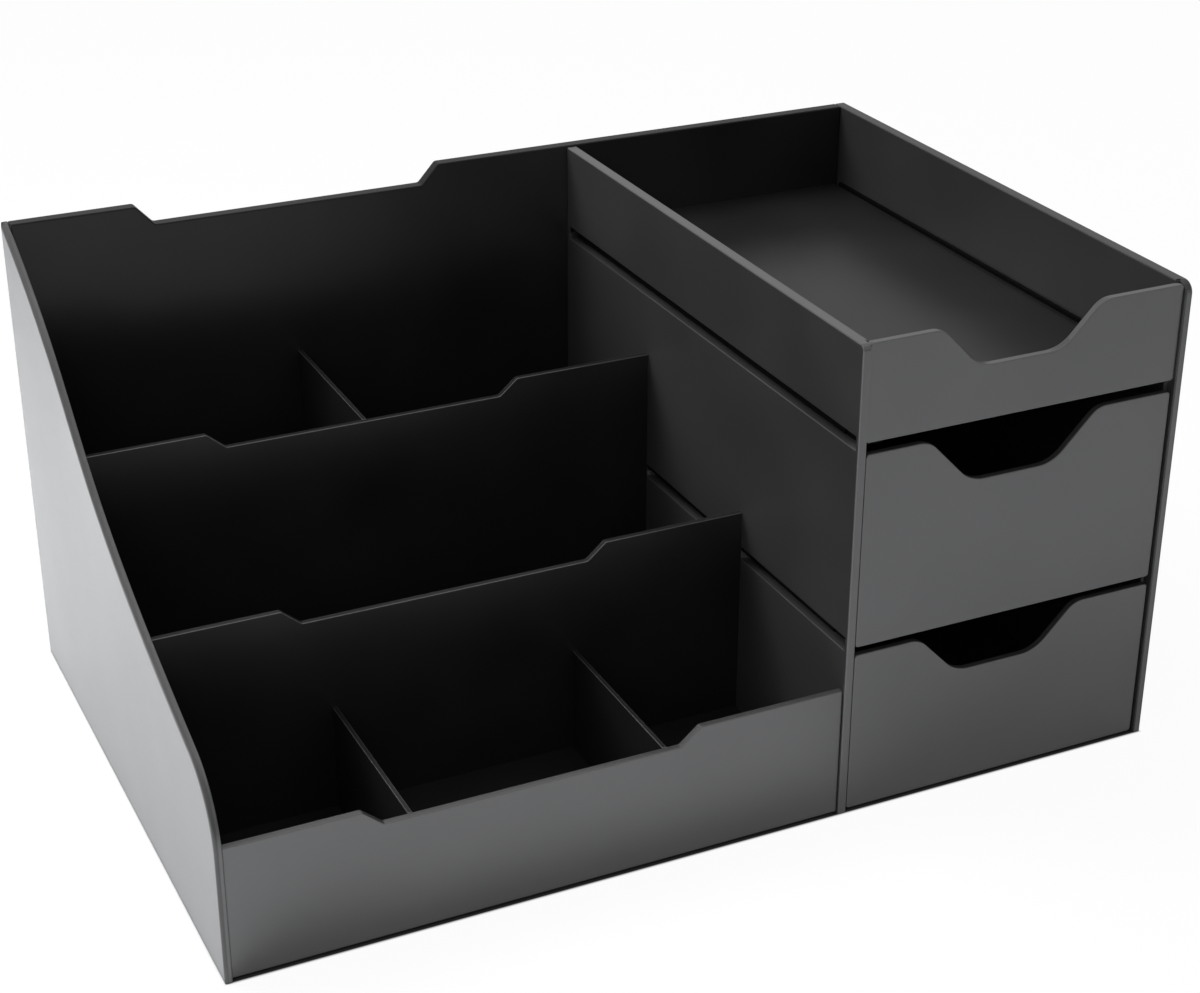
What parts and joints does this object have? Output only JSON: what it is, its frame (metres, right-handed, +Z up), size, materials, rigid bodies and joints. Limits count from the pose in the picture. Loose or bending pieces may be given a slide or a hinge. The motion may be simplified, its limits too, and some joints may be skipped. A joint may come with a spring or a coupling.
{
  "type": "stepped desktop organizer with drawers",
  "caption": "Countertop organizer of bonded flat plastic panels: a stepped section of open rows beside a tower with a top tray and sliding drawers.",
  "frame": {"origin": "middle of the footprint, on the surface that the organizer stands on", "axes": "+X to the right along the width, seen from the front; +Y to the back; +Z up. The drawers open towards -Y"},
  "size_m": [0.32, 0.21, 0.162],
  "materials": {
    "walls": "satin dark grey plastic sheet with a soft sheen at low angles",
    "fronts": "satin dark grey plastic sheet",
    "dividers": "satin near-black plastic sheet",
    "drawer_boxes": "satin dark grey plastic sheet",
    "runners": "matte black moulded plastic"
  },
  "bodies": {
    "case": {"left_side_panel": "walls", "front_panel": "fronts", "front_row_divider": "dividers", "rear_row_divider": "dividers", "front_left_cell_divider": "dividers", "front_right_cell_divider": "dividers", "rear_cell_divider": "dividers", "stepped_base": "dividers", "back_panel": "walls", "middle_wall": "walls", "right_side_panel": "walls", "tower_base": "dividers", "tray_floor": "dividers", "tray_front": "fronts", "upper_left_runner": "runners", "upper_right_runner": "runners", "lower_left_runner": "runners", "lower_right_runner": "runners"},
    "upper_drawer": {"upper_drawer_front": "fronts", "upper_drawer_floor": "drawer_boxes", "upper_drawer_left_side": "drawer_boxes", "upper_drawer_right_side": "drawer_boxes", "upper_drawer_back": "drawer_boxes"},
    "lower_drawer": {"lower_drawer_front": "fronts", "lower_drawer_floor": "drawer_boxes", "lower_drawer_left_side": "drawer_boxes", "lower_drawer_right_side": "drawer_boxes", "lower_drawer_back": "drawer_boxes"}
  },
  "joints": [
    {"name": "upper_drawer_slide", "type": "slide", "parent": "case", "child": "upper_drawer", "axis": [0, -1, 0], "range_m": [0, 0.15]},
    {"name": "lower_drawer_slide", "type": "slide", "parent": "case", "child": "lower_drawer", "axis": [0, -1, 0], "range_m": [0, 0.15]}
  ]
}
